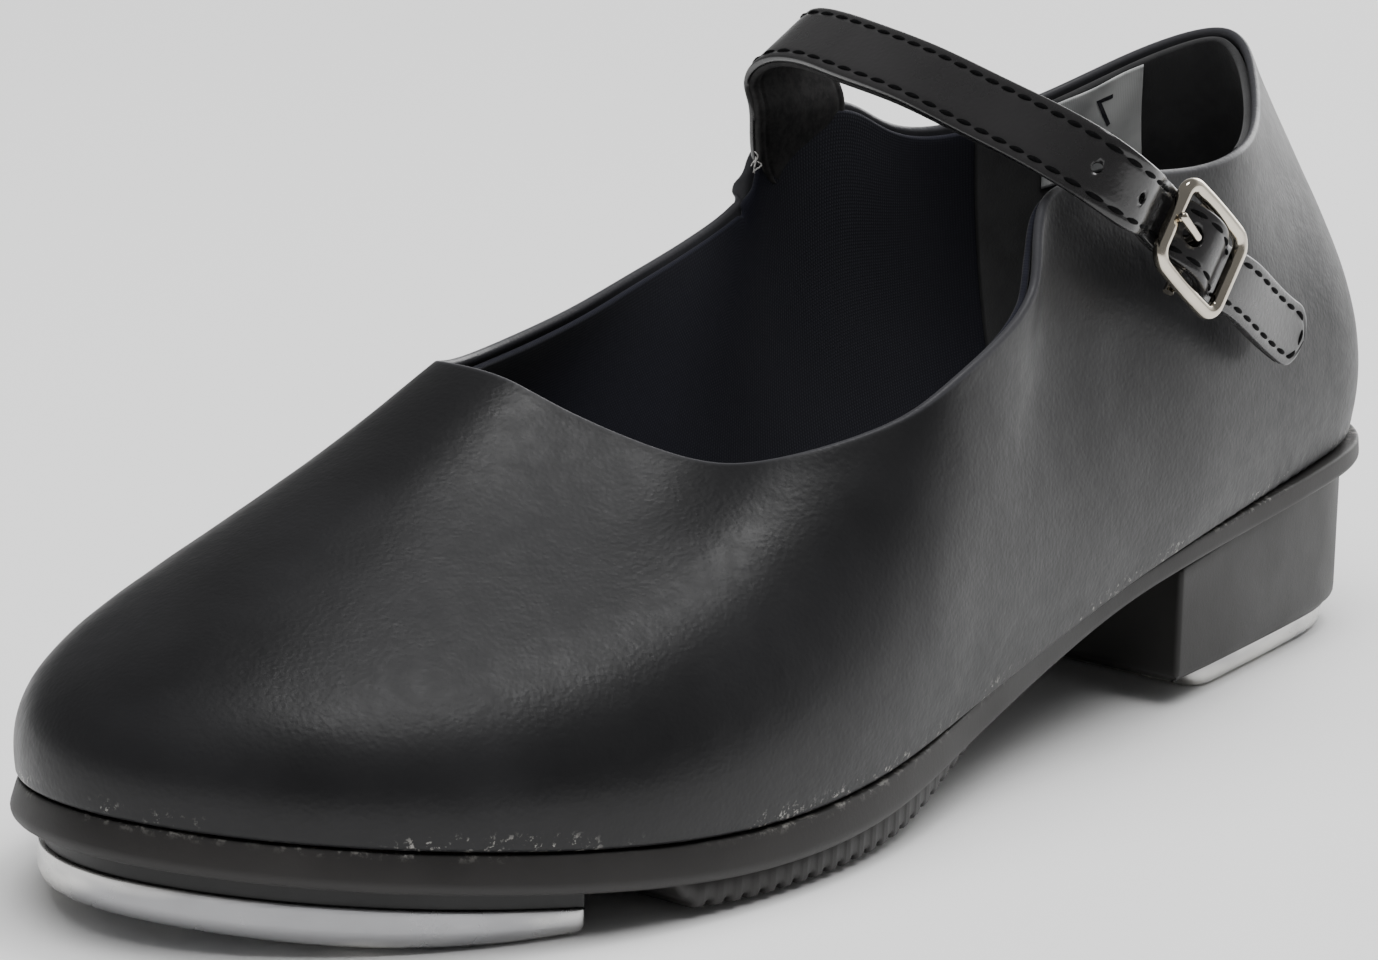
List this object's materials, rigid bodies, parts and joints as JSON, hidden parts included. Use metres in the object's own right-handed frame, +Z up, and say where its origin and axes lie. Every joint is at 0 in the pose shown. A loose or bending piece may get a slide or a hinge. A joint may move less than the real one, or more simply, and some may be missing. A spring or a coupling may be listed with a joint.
{
  "type": "tap shoe",
  "caption": "Left low-heeled strap dance shoe in black synthetic leather with aluminium toe and heel taps and a buckled instep strap that swings open.",
  "frame": {"origin": "centre of the bounding box at floor level", "axes": "+Z up, +Y from toe to heel, +X towards the outer side of the foot (buckle side)"},
  "size_m": [0.0926, 0.2608, 0.0983],
  "materials": {
    "upper_leather": "black grained synthetic leather, satin",
    "stiffener": "moulded fibre stiffener",
    "textile_lining": "woven blue-black lining",
    "suede_lining": "brushed suede-like lining",
    "label": "woven satin label",
    "sole_rubber": "moulded black rubber, matt",
    "filler": "cork filler",
    "shank_steel": "spring steel",
    "insole_board": "fibre board",
    "sock": "black sock lining",
    "heel_plastic": "moulded black heel, satin",
    "nail_steel": "bright steel",
    "sole_pad": "black fibre board",
    "tap_aluminium": "polished cast aluminium, scratched",
    "screw_steel": "zinc plated steel",
    "strap_leather": "glossy black synthetic leather",
    "strap_back": "black strap backing, satin",
    "buckle_nickel": "polished nickel"
  },
  "bodies": {
    "shoe": {"upper": "upper_leather", "toe_puff": "stiffener", "heel_counter": "stiffener", "vamp_lining": "textile_lining", "heel_lining": "suede_lining", "size_label": "label", "outsole": "sole_rubber", "bottom_filler": "filler", "shank": "shank_steel", "insole_board": "insole_board", "sock_liner": "sock", "heel_block": "heel_plastic", "heel_nails": "nail_steel", "toe_tap_pad": "sole_pad", "toe_tap": "tap_aluminium", "heel_tap": "tap_aluminium", "toe_tap_screws": "screw_steel", "heel_tap_screws": "screw_steel", "strap_anchor": "strap_leather", "buckle_chape": "strap_leather"},
    "strap": {"strap_outer": "strap_leather", "strap_lining": "strap_back", "strap_tail": "strap_leather"},
    "buckle": {"buckle_frame": "buckle_nickel", "buckle_bar": "buckle_nickel"},
    "prong": {"buckle_prong": "buckle_nickel"}
  },
  "joints": [
    {"name": "strap_open", "type": "hinge", "parent": "shoe", "child": "strap", "pos_m": [-0.03422, 0.04703, 0.08385], "axis": [0, -1, 0], "range_deg": [0, 95], "deforming": ["strap_tail"]},
    {"name": "buckle_tilt", "type": "hinge", "parent": "shoe", "child": "buckle", "pos_m": [0.03692, 0.04813, 0.07136], "axis": [-0.0502, 0.6579, 0.7514], "range_deg": [0, 12]},
    {"name": "prong_swing", "type": "hinge", "parent": "buckle", "child": "prong", "pos_m": [0.03692, 0.04813, 0.07136], "axis": [-0.0502, 0.6579, 0.7514], "range_deg": [0, 115]}
  ],
  "couplings": [
    {"joint": "buckle_tilt", "follows": "strap_open", "ratio": 0.12632},
    {"joint": "prong_swing", "follows": "strap_open", "ratio": 1.2105}
  ]
}
